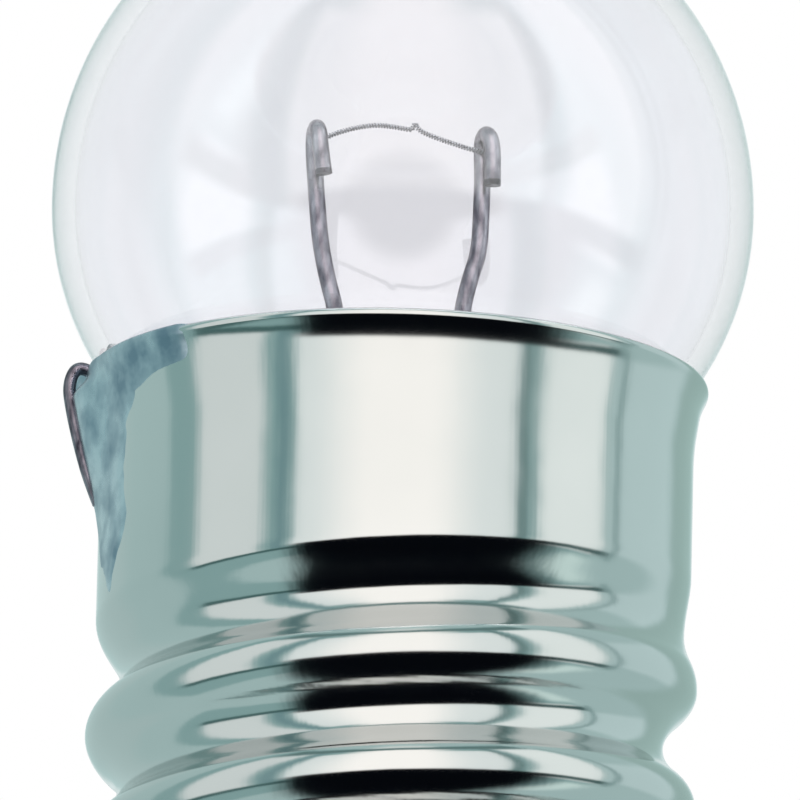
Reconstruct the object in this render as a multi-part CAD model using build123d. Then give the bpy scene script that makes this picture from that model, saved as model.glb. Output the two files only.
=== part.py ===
from build123d import *
import math
import os

# Flashlight bulb with an E10 screw base and a round clear globe.
# Millimetres. +Z runs up the lamp's axis, the origin is the tip of the bottom contact,
# and -Y is the front: the soldered lead is on the left (-X).

# Screw shell: round thread of the E10 form, rolled in thin sheet
thread_major_diameter = 9.36
thread_height = 0.51
thread_pitch = 1.814
thread_land = 0.16
front_crest_drop = 5.25
shell_wall = 0.18
shell_bottom_height = 2.9
shell_taper_width = 0.8
shell_taper_height = 1.2
shell_corner = 0.3
shell_ledge = 0.78

# Plain collar above the thread, with the flared rim
rim_height = 13.5
flare_width = 0.185
flare_height = 0.8
collar_inset = 0.12
collar_height = 3.4
shoulder_height = 1.25
thread_fade_height = 2.4
thread_fade_depth = 0.4

# Glass envelope
globe_overhang = 0.675
globe_lower_radius = 4.7
glass_wall = 0.35
waist_width = 0.3
waist_height = 0.65
neck_floor_height = 8.4
seal_thickness = 1.3
seal_corner = 0.6
tip_length = 1.5
tip_root_diameter = 1.7
tip_end_diameter = 0.6

# Wire mount
inner_lead_diameter = 0.26
outer_lead_diameter = 0.2
lead_spacing = 1.92
lead_bow_lift = 1.1
lead_bow_height = 1.1
left_bow = 0.31
right_bow = 0.24
left_lean = 0.13
right_lean = 0.07
lead_top_lift = 4.1
hook_gap = 0.17
hook_length = 0.85
hook_turn = 66.0
lead_bend_radius = 0.6
bend_step = 32.0
coil_diameter = 0.11
arch_rise = 0.26
arch_lean = -0.45
bead_overhang = 0.5
bead_diameter = 1.25
bead_corner = 0.28
bead_drop = 0.1

# Outer ends of the leads
lead_turn_radius = 0.22
lead_turn_gap = 0.65
lead_cement_lift = 0.5
lead_over_rim_drop = 0.46
lead_side_length = 1.0
lead_side_gap = 0.16
lead_end_in_solder = 0.35

# Base: black glass insulator, brass eyelet, solder
insulator_rise = 1.7
insulator_skirt_overlap = 0.25
insulator_bulge = 0.12
insulator_bore = 1.1
eyelet_diameter = 4.1
eyelet_thickness = 0.3
eyelet_corner = 0.12
eyelet_bore = 0.7
eyelet_barrel_length = 0.9
eyelet_seat = 0.12
contact_solder_diameter = 3.0
contact_solder_height = 0.65
cement_top_drop = 0.72
rim_solder_rise = 0.6
rim_solder_diameter = 2.2
rim_solder_drop = 0.8
rim_solder_turn = 4.0
rim_solder_lean = 8.0

# Clearances
fused_gap = 0.01
seat_gap = 0.02
notch_gap = 0.03
neck_room = 0.49

# Worked out from the sizes above
crest_radius = thread_major_diameter / 2
root_radius = crest_radius - thread_height
thread_arc = ((thread_pitch / 2) ** 2 + thread_height**2) / (4 * thread_height)
flank_angle = math.degrees(math.asin(thread_pitch / (4 * thread_arc)))
shell_foot_radius = crest_radius - shell_taper_width
shell_hole_radius = shell_foot_radius - shell_ledge
taper_slope = shell_taper_width / shell_taper_height
front_crest_height = rim_height - front_crest_drop
collar_radius = crest_radius - collar_inset
collar_bottom = rim_height - collar_height
shoulder_bottom = collar_bottom - shoulder_height
shoulder_radius = root_radius - 3 * seat_gap
flare_radius = (flare_height**2 + flare_width**2) / (2 * flare_width)
flare_centre = collar_radius + flare_radius
rim_bore_radius = flare_centre - math.sqrt((flare_radius + shell_wall) ** 2 - flare_height**2)
globe_radius = collar_radius + flare_width + globe_overhang
belly_offset = globe_radius - globe_lower_radius
belly_reach = rim_bore_radius - seat_gap - belly_offset
globe_height = rim_height + math.sqrt(globe_lower_radius**2 - belly_reach**2)
neck_radius = root_radius - shell_wall - neck_room
seal_bottom = neck_floor_height - seal_thickness
tip_bottom = seal_bottom - tip_length
insulator_top = shell_bottom_height + insulator_rise
eyelet_top = contact_solder_height + eyelet_thickness
lead_x = lead_spacing / 2


def turned(outline):
    """Solid turned about the lamp's axis from a closed half-section drawn as (radius, height)."""
    return revolve(Plane.XZ * make_face(outline), Axis.Z)


def polygon(*corners):
    """Closed outline through the corners, drawn as (radius, height)."""
    return Polyline(*corners, close=True)


def groove_section(inset):
    """Section of the rolled groove over one pitch, drawn as (radius, height) about its root.

    The round form, two half crests and a root, is drawn in straight facets. The inner face of
    the sheet is the same form, moved in by the wall, with one facet less on each flank.
    """
    half = thread_pitch / 2
    crest = crest_radius - inset
    beyond = crest + thread_land
    root_centre = Vector(root_radius + thread_arc, 0)
    root_bend = Vector(thread_arc + inset, 0)
    root_angles = (flank_angle, flank_angle / 2.5, -flank_angle / 2.5, -flank_angle)
    root = [root_centre - root_bend.rotate(Axis.Z, -angle) for angle in root_angles]
    crest_centre = Vector(crest_radius - thread_arc, half)
    shoulder = crest_centre + Vector(thread_arc - inset, 0).rotate(Axis.Z, -flank_angle / 2)
    last = root[0] if inset else shoulder
    land = Vector(crest, half - thread_land / 2)
    edge = land + (land - last) * (thread_land / 4 / (land.Y - last.Y))
    upper = [Vector(beyond, edge.Y), edge] if inset else [Vector(beyond, edge.Y), edge, shoulder]
    lower = [Vector(point.X, -point.Y) for point in reversed(upper)]
    return make_face(polygon(*upper, *root, *lower))


def thread_core(inset):
    """Round bar with the groove rolled in it, longer than the thread at both ends."""
    bottom = shell_bottom_height - thread_pitch
    top = collar_bottom + thread_pitch
    length = top - bottom
    bar = Pos(0, 0, (bottom + top) / 2) * Cylinder(crest_radius - inset, length + 2 * thread_pitch)
    helix = Helix(thread_pitch, length, root_radius)
    groove = sweep(Plane.XZ * groove_section(inset), path=helix, is_frenet=True)
    front_root_height = front_crest_height + thread_pitch / 2
    start_angle = 270 + (bottom - front_root_height) * 360 / thread_pitch
    return bar - Pos(0, 0, bottom) * Rot(0, 0, start_angle) * groove


def thread_envelope(inset):
    """Body that trims the thread: tapered in at the bottom, and fading into the collar at the top."""
    bottom = shell_bottom_height + inset
    wide = crest_radius + thread_fade_depth / 2 - inset
    foot = shell_foot_radius - inset
    fade_top = collar_bottom + shell_wall
    outline = polygon(
        (0, bottom),
        (foot - shell_corner, bottom),
        (foot + shell_corner * taper_slope, bottom + shell_corner),
        (wide, bottom + (wide - foot) / taper_slope),
        (wide, fade_top - thread_fade_height),
        (wide - thread_fade_depth, fade_top),
        (0, fade_top),
    )
    return turned(outline)


def collar_body(inset, overshoot=0.0):
    """Solid collar: an S-shaped shoulder out of the thread's root, a plain band and the flared rim."""
    step = collar_radius - shoulder_radius
    bend = (shoulder_height**2 + step**2) / (4 * step)
    bend_sweep = math.degrees(math.asin(shoulder_height / (2 * bend)))
    flare_start = rim_height - flare_height
    flare_sweep = math.degrees(math.asin((flare_height + overshoot) / (flare_radius + inset)))
    lower = CenterArc((shoulder_radius + bend, shoulder_bottom), bend + inset, 180, -bend_sweep)
    upper = CenterArc((collar_radius - bend, collar_bottom), bend - inset, -bend_sweep, bend_sweep)
    band = Line((collar_radius - inset, collar_bottom), (collar_radius - inset, flare_start))
    flare = CenterArc((flare_centre, flare_start), flare_radius + inset, 180, -flare_sweep)
    top = flare @ 1
    bottom = lower @ 0
    inside = Polyline(top, (0, top.Y), (0, bottom.Y), bottom)
    return turned(lower + upper + band + flare + inside)


def shell_body(inset, overshoot=0.0):
    """Solid that the shell's outer face bounds, or its inner face when inset by the wall."""
    return (thread_core(inset) & thread_envelope(inset)) + collar_body(inset, overshoot)


def bulb_body(shrink, floor):
    """Neck and globe as one solid, with every wall moved inwards by shrink."""
    neck = neck_radius - shrink
    lower = globe_lower_radius - shrink
    start = -math.degrees(math.acos((neck + waist_width - belly_offset) / lower))
    belly = CenterArc((belly_offset, globe_height), lower, start, -start)
    crown = CenterArc((0, globe_height), globe_radius - shrink, 0, 90)
    waist = belly @ 0
    rest = Polyline(
        crown @ 1,
        (0, floor),
        (neck - seal_corner, floor),
        (neck, floor + seal_corner),
        (neck, waist.Y - waist_height),
        waist,
    )
    return turned(belly + crown + rest)


def exhaust_tip(grow):
    """Closed end of the tube that the lamp was pumped through."""
    outline = polygon(
        (0, seal_bottom + seal_thickness / 2),
        (0, tip_bottom - grow),
        (tip_end_diameter / 4 + grow, tip_bottom - grow),
        (tip_end_diameter / 2 + grow, tip_bottom + tip_end_diameter / 4),
        (tip_root_diameter / 2 + grow, seal_bottom),
        (tip_root_diameter / 2 + grow, seal_bottom + seal_thickness / 2),
    )
    return turned(outline)


def glass_body(grow=0.0):
    """Outside of the glass as one solid, moved outwards by grow."""
    return bulb_body(-grow, seal_bottom - grow) + exhaust_tip(grow)


def wire(points, radii, diameter):
    """Round wire along straight runs, its bends drawn in mitred pieces of bend_step at most."""
    path = FilletPolyline(*points, radius=radii)
    knots = [path @ 0]
    for bend in path.edges().filter_by(GeomType.CIRCLE):
        turn = bend.length / bend.radius
        pieces = math.ceil(math.degrees(turn) / bend_step)
        reach = bend.radius * math.tan(turn / pieces / 2)
        knots += [bend @ (k / pieces) + (bend % (k / pieces)) * reach for k in range(pieces)]
    route = Polyline(*knots, path @ 1)
    section = Plane(origin=route @ 0, z_dir=route % 0) * Circle(diameter / 2)
    return sweep(section, route, transition=Transition.RIGHT)


def spheroid(half_width, radius):
    """Round drop with its axis along X."""
    arc = EllipticalCenterArc((0, 0), radius, half_width, start_angle=-90, arc_size=180)
    return Rot(0, 90, 0) * turned(arc + Line(arc @ 1, arc @ 0))


def inner_lead(side, bow, lean, fold, extra):
    """Thick part of a lead, from the seal up to its hook; fold is the hook's heading in degrees."""
    spacing = inner_lead_diameter + hook_gap
    bow_start = rim_height + lead_bow_lift
    bow_end = bow_start + lead_bow_height
    top = rim_height + lead_top_lift - inner_lead_diameter / 2
    knee = side * (lead_x + bow)
    head = side * (lead_x + bow + lean)
    across = spacing * math.cos(math.radians(fold))
    ahead = spacing * math.sin(math.radians(fold))
    points = [
        (side * lead_x, 0, seal_bottom + seal_thickness / 2),
        (side * lead_x, 0, bow_start),
        (knee, 0, bow_end),
        (head, 0, top),
        (head + across, ahead, top),
        (head + across, ahead, top - hook_length),
    ]
    bend = spacing / 2 - fused_gap / 2
    return wire(points, [lead_bend_radius, lead_bend_radius, bend, bend], inner_lead_diameter + extra)


def shell_lead(extra=0.0):
    """Left lead: from its hook down through the seal, up through the cement and over the rim."""
    turn_height = seal_bottom - lead_turn_gap
    neck_side = -(neck_radius + neck_room / 2)
    collar_side = -(collar_radius - shell_wall - outer_lead_diameter / 2 - notch_gap)
    over_rim = rim_height - lead_over_rim_drop
    outside = -(collar_radius + lead_side_gap + outer_lead_diameter / 2)
    points = [
        (-lead_x, 0, seal_bottom + seal_thickness / 2),
        (-lead_x, 0, turn_height),
        (neck_side, 0, turn_height),
        (neck_side, 0, shoulder_bottom),
        (collar_side, 0, collar_bottom + lead_cement_lift),
        (collar_side, 0, over_rim),
        (outside, 0, over_rim),
        (outside, 0, over_rim - lead_side_length),
    ]
    turn = lead_turn_radius
    bends = [turn, turn, lead_bend_radius, lead_bend_radius, turn, turn]
    outer = wire(points, bends, outer_lead_diameter + extra)
    return inner_lead(-1, left_bow, left_lean, -hook_turn, extra) + outer


def contact_lead(extra=0.0):
    """Right lead: from its hook down through the seal to the bottom contact."""
    points = [
        (lead_x, 0, seal_bottom + seal_thickness / 2),
        (lead_x, 0, tip_bottom - outer_lead_diameter),
        (0, 0, insulator_top + outer_lead_diameter),
        (0, 0, lead_end_in_solder),
    ]
    outer = wire(points, [lead_bend_radius / 2, lead_bend_radius / 2], outer_lead_diameter + extra)
    return inner_lead(1, right_bow, right_lean, -hook_turn, extra) + outer


def hook_middle(side, bow, lean, fold):
    """Middle of the gap in a hook, where the filament's end is clamped."""
    reach = (inner_lead_diameter + hook_gap) / 2
    x = side * (lead_x + bow + lean) + reach * math.cos(math.radians(fold))
    y = reach * math.sin(math.radians(fold))
    z = rim_height + lead_top_lift - inner_lead_diameter - hook_gap / 2 - coil_diameter
    return Vector(x, y, z)


def filament():
    """Envelope of the coiled filament: an arch between the two hooks."""
    left = hook_middle(-1, left_bow, left_lean, -hook_turn)
    right = hook_middle(1, right_bow, right_lean, -hook_turn)
    peak = Vector(arch_lean, (left.Y + right.Y) / 2, max(left.Z, right.Z) + arch_rise)
    arch = ThreePointArc(left, peak, right)
    section = Plane(origin=arch @ 0, z_dir=arch % 0) * Circle(coil_diameter / 2)
    return sweep(section, arch)


def glass_bead():
    """Short rod of glass, melted round at its ends, that ties the two leads together."""
    half = lead_x + bead_overhang
    radius = bead_diameter / 2
    outline = polygon(
        (0, -half),
        (radius - bead_corner, -half),
        (radius, bead_corner - half),
        (radius, half - bead_corner),
        (radius - bead_corner, half),
        (0, half),
    )
    bead = Pos(0, 0, rim_height - bead_drop) * Rot(0, 90, 0) * turned(outline)
    return bead - shell_lead(2 * fused_gap) - contact_lead(2 * fused_gap)


def glass_envelope():
    """Blown globe and neck, closed by the seal that the two leads pass through."""
    cavity = bulb_body(glass_wall, neck_floor_height)
    return glass_body() - cavity - shell_lead(2 * fused_gap) - contact_lead(2 * fused_gap)


def screw_shell():
    """Thin drawn shell, with the hole for the insulator and the notch that the lead comes out by."""
    shell = shell_body(0.0) - shell_body(shell_wall, overshoot=shell_wall)
    hole = Pos(0, 0, shell_bottom_height) * Cylinder(shell_hole_radius, 4 * shell_wall)
    notch_width = outer_lead_diameter + 2 * notch_gap
    notch_depth = lead_over_rim_drop + notch_width / 2
    notch = Pos(-collar_radius, 0, rim_height - notch_depth / 2) * Box(1, notch_width, notch_depth)
    return shell - hole - notch


def basing_cement():
    """Ring of cement between the neck and the collar."""
    top = rim_height - cement_top_drop
    radius = collar_radius - shell_wall - seat_gap
    ring = Pos(0, 0, (collar_bottom + top) / 2) * Cylinder(radius, top - collar_bottom)
    return ring - glass_body(fused_gap) - shell_lead(2 * fused_gap)


def insulator():
    """Black glass plug that fills the bottom of the shell and comes out through its hole."""
    plug = root_radius - shell_wall - seat_gap
    floor = shell_bottom_height + shell_wall + seat_gap
    foot = shell_foot_radius - shell_wall - shell_corner - seat_gap
    throat = shell_hole_radius - seat_gap
    skirt = shell_hole_radius + insulator_skirt_overlap
    skirt_top = shell_bottom_height - seat_gap
    nose = eyelet_diameter / 2 + eyelet_seat
    nose_bottom = eyelet_top - eyelet_seat
    bulge = ThreePointArc(
        (skirt, skirt_top),
        ((skirt + nose) / 2 + insulator_bulge, (skirt_top + nose_bottom) / 2),
        (nose, nose_bottom),
    )
    sides = Polyline(
        (nose, nose_bottom),
        (eyelet_diameter / 2 + seat_gap, nose_bottom),
        (eyelet_diameter / 2 + seat_gap, eyelet_top),
        (insulator_bore / 2, eyelet_top),
        (insulator_bore / 2, insulator_top),
        (plug, insulator_top),
        (plug, floor + (plug - foot) / taper_slope),
        (foot, floor),
        (throat, floor),
        (throat, skirt_top),
        (skirt, skirt_top),
    )
    return turned(bulge + sides)


def contact_eyelet():
    """Brass plate with a short barrel that holds it in the insulator's bore."""
    barrel = insulator_bore / 2 - seat_gap
    outline = polygon(
        (eyelet_bore / 2, contact_solder_height),
        (eyelet_diameter / 2 - eyelet_corner, contact_solder_height),
        (eyelet_diameter / 2, contact_solder_height + eyelet_corner),
        (eyelet_diameter / 2, eyelet_top),
        (barrel, eyelet_top),
        (barrel, eyelet_top + eyelet_barrel_length),
        (eyelet_bore / 2, eyelet_top + eyelet_barrel_length),
    )
    return turned(outline)


def contact_solder():
    """Solder dome of the bottom contact, with the plug that runs up the eyelet round the lead."""
    base = contact_solder_diameter / 2
    sphere = (base**2 + contact_solder_height**2) / (2 * contact_solder_height)
    sweep_angle = math.degrees(math.asin(base / sphere))
    dome = CenterArc((0, sphere), sphere, -90, sweep_angle)
    plug = eyelet_bore / 2 - seat_gap
    rest = Polyline(
        dome @ 1,
        (plug, contact_solder_height),
        (plug, eyelet_top),
        (0, eyelet_top),
        (0, 0),
    )
    return turned(dome + rest) - contact_lead(2 * fused_gap)


def rim_solder():
    """Blob that covers the end of the lead, wetted onto the collar and the flared rim."""
    drop = Rot(0, rim_solder_lean, 0) * spheroid(rim_solder_rise, rim_solder_diameter / 2)
    blob = Rot(0, 0, rim_solder_turn) * Pos(-collar_radius, 0, rim_height - rim_solder_drop) * drop
    seated = blob - collar_body(-fused_gap) - glass_body(2 * fused_gap)
    return seated - shell_lead(2 * fused_gap)


nodes = {
    "glass_envelope": glass_envelope,
    "glass_bead": glass_bead,
    "filament": filament,
    "shell_lead": shell_lead,
    "contact_lead": contact_lead,
    "screw_shell": screw_shell,
    "basing_cement": basing_cement,
    "insulator": insulator,
    "contact_eyelet": contact_eyelet,
    "contact_solder": contact_solder,
    "rim_solder": rim_solder,
}

os.makedirs("parts", exist_ok=True)
for name, build in nodes.items():
    export_step(build(), f"parts/{name}.step")
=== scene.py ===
"""Looks of a flashlight bulb: clear globe, wire mount and nickel-plated screw base.

Sizes are in millimetres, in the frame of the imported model: +Z runs up the lamp's axis from the tip of
the bottom contact, -Y is the front and -X is the side with the soldered lead.
"""

import logging
import math
from abc import ABC, abstractmethod
from dataclasses import dataclass, field
from enum import Enum
from typing import Any, Callable, Sequence

import bpy
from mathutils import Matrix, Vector, noise

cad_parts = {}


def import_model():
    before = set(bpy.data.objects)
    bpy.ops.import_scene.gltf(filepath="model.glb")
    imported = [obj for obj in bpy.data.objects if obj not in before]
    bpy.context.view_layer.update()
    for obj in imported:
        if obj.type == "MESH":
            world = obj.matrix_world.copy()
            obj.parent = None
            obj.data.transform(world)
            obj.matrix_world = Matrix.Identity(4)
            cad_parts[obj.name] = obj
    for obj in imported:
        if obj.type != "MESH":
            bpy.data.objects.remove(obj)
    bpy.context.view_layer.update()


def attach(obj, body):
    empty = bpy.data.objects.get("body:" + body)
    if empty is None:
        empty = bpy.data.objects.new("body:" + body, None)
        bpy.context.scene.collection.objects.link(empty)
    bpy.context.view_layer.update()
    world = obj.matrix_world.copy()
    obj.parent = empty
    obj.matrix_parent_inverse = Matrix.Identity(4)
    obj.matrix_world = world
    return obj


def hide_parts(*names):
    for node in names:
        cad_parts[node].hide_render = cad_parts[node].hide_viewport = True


LOG = logging.getLogger("flashlight_bulb")
MM = 0.001
BODY = "root"

# Bearing of the front, in turns from +X
FRONT_TURN = 0.75

# Sockets of the Mix node for colours
MIX_FIRST = 6
MIX_SECOND = 7
MIX_RESULT = 2

# Range that holds most values of a noise
NOISE_SPREAD = {"From Min": 0.3, "From Max": 0.7}

Point = tuple[float, float]
Place = tuple[float, float, float]


class Slot(Enum):
    """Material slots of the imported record."""

    CLEAR_GLASS = "clear_glass"
    BEAD_GLASS = "bead_glass"
    TUNGSTEN = "tungsten"
    LEAD_WIRE = "lead_wire"
    PLATED_SHELL = "plated_shell"
    CEMENT = "cement"
    BLACK_GLASS = "black_glass"
    BRASS = "brass"
    SOLDER = "solder"


# Small tools for numbers, meshes and nodes


def linear(hex_colour: str, strength: float = 1.0) -> tuple[float, float, float, float]:
    """Turns an sRGB hex colour into linear light.

    Args:
        hex_colour: six hex digits, with or without a leading hash.
        strength: factor on the linear values.

    Returns:
        Red, green, blue and an alpha of one.
    """
    digits = hex_colour.lstrip("#")
    channels = [int(digits[i : i + 2], 16) / 255 for i in (0, 2, 4)]
    curve = [c / 12.92 if c <= 0.04045 else ((c + 0.055) / 1.055) ** 2.4 for c in channels]
    return curve[0] * strength, curve[1] * strength, curve[2] * strength, 1.0


def ease(low: float, high: float, value: float) -> float:
    """Smooth step from 0 at low to 1 at high; low may be the larger of the two."""
    t = min(max((value - low) / (high - low), 0.0), 1.0)
    return t * t * (3 - 2 * t)


def blended_min(a: float, b: float, width: float) -> float:
    """Smaller of two lengths, rounded over where they are within width of each other."""
    t = min(max(0.5 + 0.5 * (b - a) / width, 0.0), 1.0)
    return b + (a - b) * t - width * t * (1 - t)


def blended_max(a: float, b: float, width: float) -> float:
    """Larger of two lengths, rounded over where they are within width of each other."""
    return -blended_min(-a, -b, width)


def arc(centre: Point, radius: float, start: float, end: float, steps: int) -> list[Point]:
    """Points of a circular arc of a half-section.

    Args:
        centre: the arc's centre as (radius, height).
        radius: the arc's own radius.
        start: first angle in degrees, from the outward direction.
        end: last angle in degrees.
        steps: number of chords.

    Returns:
        steps + 1 points, from start to end.
    """
    angles = [math.radians(start + (end - start) * i / steps) for i in range(steps + 1)]
    return [(centre[0] + radius * math.cos(a), centre[1] + radius * math.sin(a)) for a in angles]


def run(start: Point, end: Point, steps: int) -> list[Point]:
    """Evenly spaced points of a straight run, without its last point."""
    return [tuple(a + (b - a) * i / steps for a, b in zip(start, end)) for i in range(steps)]


def deselect_all() -> None:
    """Leaves nothing selected, so that an operator acts on the new piece alone."""
    bpy.ops.object.select_all(action="DESELECT")


def select_only(*pieces: bpy.types.Object) -> None:
    """Selects some pieces and nothing else, and makes the first of them active.

    Args:
        pieces: the pieces that the next operator acts on.
    """
    deselect_all()
    for piece in pieces:
        piece.select_set(True)
    bpy.context.view_layer.objects.active = pieces[0]


def turned(name: str, section: Sequence[Point], segments: int) -> bpy.types.Object:
    """Turns a half-section about the lamp's axis.

    Args:
        name: name of the new piece.
        section: points of the half-section as (radius, height) in millimetres.
        segments: number of steps round the axis.

    Returns:
        The piece, with its seam and poles merged and its faces outwards.
    """
    deselect_all()
    bpy.ops.mesh.primitive_plane_add(size=MM)
    piece = bpy.context.object
    piece.name = name
    bpy.ops.object.mode_set(mode="EDIT")
    bpy.ops.mesh.merge(type="CENTER")
    here = Vector((0.0, 0.0, 0.0))
    for index, (radius, height) in enumerate(section):
        there = Vector((radius * MM, 0.0, height * MM))
        if index == 0:
            bpy.ops.transform.translate(value=there)
        else:
            bpy.ops.mesh.extrude_region_move(TRANSFORM_OT_translate={"value": there - here})
        here = there
    bpy.ops.mesh.select_all(action="SELECT")
    bpy.ops.mesh.spin(steps=segments, angle=math.tau, center=(0, 0, 0), axis=(0, 0, 1))
    bpy.ops.mesh.select_all(action="SELECT")
    bpy.ops.mesh.remove_doubles(threshold=1e-6)
    bpy.ops.mesh.normals_make_consistent(inside=False)
    bpy.ops.object.mode_set(mode="OBJECT")
    return piece


def drawn_wire(
    name: str, route: Sequence[Place], diameter: float, sides: int, fine: int
) -> bpy.types.Object:
    """Draws a round wire along a smooth line.

    Args:
        name: name of the new piece.
        route: control points of the line in millimetres.
        diameter: the wire's diameter in millimetres.
        sides: bevel steps on each quarter of its section.
        fine: steps of the line between two control points.

    Returns:
        The wire as a closed mesh.
    """
    deselect_all()
    bpy.ops.curve.primitive_nurbs_path_add()
    piece = bpy.context.object
    piece.name = name
    spline = piece.data.splines[0]
    spline.points.add(len(route) - len(spline.points))
    for point, place in zip(spline.points, route):
        point.co = (*(Vector(place) * MM), 1.0)
    spline.order_u = 3
    spline.use_endpoint_u = True
    piece.data.resolution_u = fine
    piece.data.bevel_depth = diameter / 2 * MM
    piece.data.bevel_resolution = sides
    piece.data.use_fill_caps = True
    bpy.ops.object.convert(target="MESH")
    return piece


def reshape(piece: bpy.types.Object, place: Callable[[Vector], Vector]) -> None:
    """Moves every vertex of a piece.

    Args:
        piece: the mesh to shape.
        place: gives a vertex's new place from its old one, both in millimetres.
    """
    for vertex in piece.data.vertices:
        vertex.co = place(vertex.co / MM) * MM
    piece.data.update()


def smooth(piece: bpy.types.Object, angle: float) -> None:
    """Shades a piece smooth, apart from edges sharper than the angle in degrees."""
    select_only(piece)
    bpy.ops.object.shade_smooth_by_angle(angle=math.radians(angle))


def joined(first: bpy.types.Object, second: bpy.types.Object) -> bpy.types.Object:
    """Joins two meshes.

    Args:
        first: the mesh that stays.
        second: the mesh that goes into it.

    Returns:
        The first mesh, with both shapes.
    """
    select_only(first, second)
    bpy.ops.object.join()
    return first


def add_node(
    tree: bpy.types.NodeTree,
    kind: str,
    settings: dict[str, Any] | None = None,
    values: dict[str | int, Any] | None = None,
    links: dict[str | int, bpy.types.NodeSocket] | None = None,
) -> bpy.types.Node:
    """Adds a node with its settings and links.

    Args:
        tree: the node tree.
        kind: the node's type name.
        settings: attributes of the node.
        values: values of its inputs, by name or number.
        links: sockets that feed its inputs, by name or number.

    Returns:
        The new node.
    """
    node = tree.nodes.new(kind)
    for attribute, value in (settings or {}).items():
        setattr(node, attribute, value)
    for socket, value in (values or {}).items():
        node.inputs[socket].default_value = value
    for socket, source in (links or {}).items():
        tree.links.new(source, node.inputs[socket])
    return node


# Finishes


@dataclass(frozen=True)
class Pattern:
    """A noise over a surface, and what it does to the colour, the gloss and the relief."""

    # Width of a patch in millimetres, and how many times longer it is along each axis
    size: float
    stretch: Place = (1.0, 1.0, 1.0)
    detail: float = 2.0
    # Two colours, and the values of the noise between which the first goes over into the second
    colours: tuple[str, str] | None = None
    contrast: Point = (0.0, 1.0)
    rough: Point | None = None
    # Height of the relief in millimetres
    depth: float = 0.0

    def lay(self, tree: bpy.types.NodeTree, shader: bpy.types.Node) -> None:
        """Lays the pattern in front of the shader, on top of the relief that is already there.

        Args:
            tree: the material's node tree.
            shader: its principled shader.
        """
        place = add_node(tree, "ShaderNodeTexCoord").outputs["Object"]
        scale = [1 / (self.size * longer * MM) for longer in self.stretch]
        sized = add_node(tree, "ShaderNodeMapping", values={"Scale": scale}, links={"Vector": place})
        grain = add_node(
            tree,
            "ShaderNodeTexNoise",
            values={"Scale": 1.0, "Detail": self.detail},
            links={"Vector": sized.outputs["Vector"]},
        ).outputs["Fac"]
        if self.colours:
            share = add_node(
                tree,
                "ShaderNodeMapRange",
                values={"From Min": self.contrast[0], "From Max": self.contrast[1]},
                links={"Value": grain},
            )
            colour = add_node(
                tree,
                "ShaderNodeMix",
                {"data_type": "RGBA"},
                {MIX_FIRST: linear(self.colours[0]), MIX_SECOND: linear(self.colours[1])},
                {0: share.outputs["Result"]},
            )
            tree.links.new(colour.outputs[MIX_RESULT], shader.inputs["Base Color"])
        if self.rough:
            gloss = add_node(
                tree,
                "ShaderNodeMapRange",
                values={**NOISE_SPREAD, "To Min": self.rough[0], "To Max": self.rough[1]},
                links={"Value": grain},
            )
            tree.links.new(gloss.outputs["Result"], shader.inputs["Roughness"])
        if self.depth:
            below = {"Normal": link.from_socket for link in shader.inputs["Normal"].links}
            relief = add_node(
                tree,
                "ShaderNodeBump",
                values={"Distance": self.depth * MM},
                links={"Height": grain, **below},
            )
            tree.links.new(relief.outputs["Normal"], shader.inputs["Normal"])


@dataclass(frozen=True)
class Finish:
    """A material, named for what it is and how its surface was made."""

    name: str
    slot: Slot
    patterns: tuple[Pattern, ...]
    tint: str | None = None
    # Sockets of the shader that are the same all over, with their values
    plain: tuple[tuple[str, float], ...] = ()

    def material(self) -> bpy.types.Material:
        """Makes the finish's material the first time it is asked for.

        Returns:
            The material, the same one each time.
        """
        found = bpy.data.materials.get(self.name)
        if found:
            return found
        made = bpy.data.materials.new(self.name)
        made.use_nodes = True
        shader = made.node_tree.nodes["Principled BSDF"]
        for socket, value in self.plain:
            shader.inputs[socket].default_value = value
        if self.tint:
            shader.inputs["Base Color"].default_value = linear(self.tint)
        for pattern in self.patterns:
            pattern.lay(made.node_tree, shader)
        return made


# Plain values of every metal
METAL = (("Metallic", 1.0),)


def wire_finish(name: str, slot: Slot, colours: tuple[str, str], rough: Point, fleck: float) -> Finish:
    """Finish of a drawn wire, dulled by the sealing flame, with flecks of oxide along its length.

    Args:
        name: the finish's name.
        slot: its slot in the record.
        colours: colour of the wire and of its flecks.
        rough: roughness of the wire and of its flecks.
        fleck: width of a fleck in millimetres.

    Returns:
        The finish.
    """
    flecks = Pattern(
        size=fleck,
        stretch=(1.0, 1.0, 3.0),
        detail=3.0,
        colours=colours,
        contrast=(0.38, 0.68),
        rough=rough,
        depth=0.006,
    )
    return Finish(name, slot, (flecks,), plain=METAL)


# Nickel plate on drawn brass: a cool mirror that draws the room out into bands over the thread, clouded
# where the plate is thin, with shallow dents. Real drawing lines are finer: the upright ones here are as
# coarse as they need to be to show
NICKEL = Finish(
    "nickel_plated_brass_rolled",
    Slot.PLATED_SHELL,
    (
        Pattern(size=2.6, detail=3.0, colours=("#CED0CF", "#C4C8C7"), rough=(0.09, 0.16)),
        Pattern(size=1.0, detail=1.5, depth=0.007),
        Pattern(size=0.12, stretch=(1.0, 1.0, 40.0), detail=1.0, depth=0.0008),
    ),
    plain=METAL,
)

# Thin blown soda glass, clear and fire polished: seen only by its soft reflections and its grey edge, with
# slow waves from blowing
GLASS = Finish(
    "soda_glass_blown",
    Slot.CLEAR_GLASS,
    (Pattern(size=5.0, detail=0.0, depth=0.012),),
    tint="#F5F5F8",
    plain=(("Roughness", 0.0), ("IOR", 1.55), ("Transmission Weight", 1.0)),
)

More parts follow.
